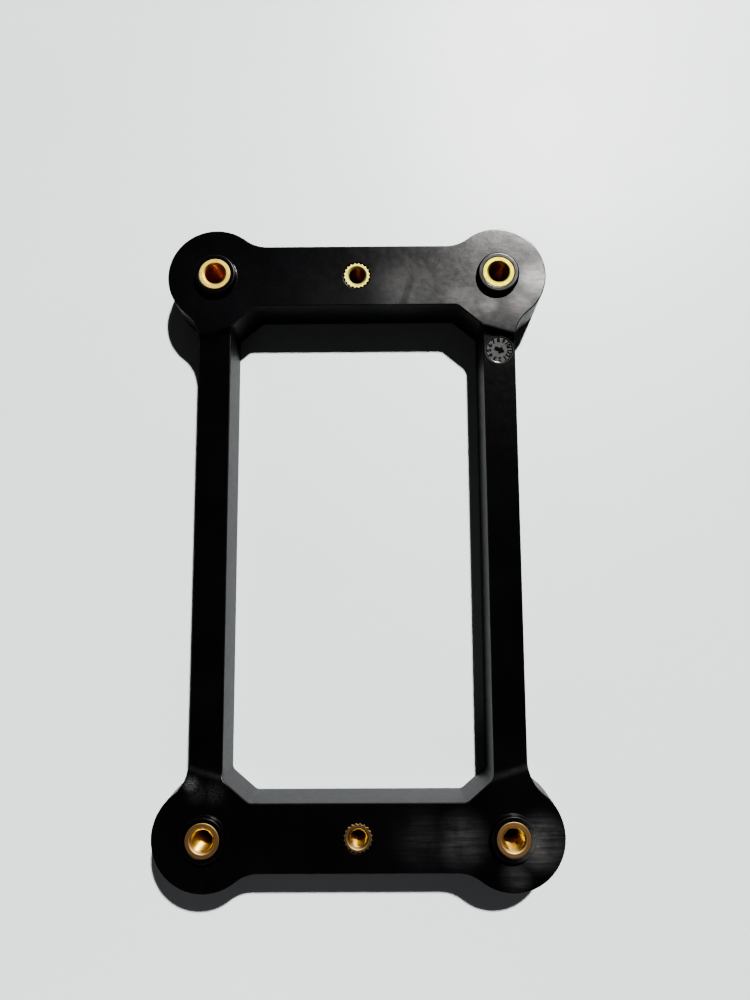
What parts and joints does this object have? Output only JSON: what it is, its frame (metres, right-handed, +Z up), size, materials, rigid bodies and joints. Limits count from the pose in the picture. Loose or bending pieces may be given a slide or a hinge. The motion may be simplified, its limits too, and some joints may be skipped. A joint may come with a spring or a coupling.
{
  "type": "rectangular mounting frame",
  "caption": "Moulded black plastic open rectangular frame with a round boss and raised collar at each corner, fitted with brass threaded inserts.",
  "frame": {"origin": "on the underside, at the centre of the frame's footprint", "axes": "+X across the frame, +Y along it towards the end bar nearer the date dial, +Z up out of the collar side"},
  "size_m": [0.0852, 0.1422, 0.012],
  "materials": {
    "frame_plastic": "black, satin on the bars and bosses, glossier on the side rails",
    "insert_brass": "turned, bright faces and darker bores"
  },
  "bodies": {
    "root": {"frame_moulding": "frame_plastic", "corner_insert_back_left": "insert_brass", "corner_insert_back_right": "insert_brass", "corner_insert_front_left": "insert_brass", "corner_insert_front_right": "insert_brass", "middle_insert_back": "insert_brass", "middle_insert_front": "insert_brass"}
  },
  "joints": []
}
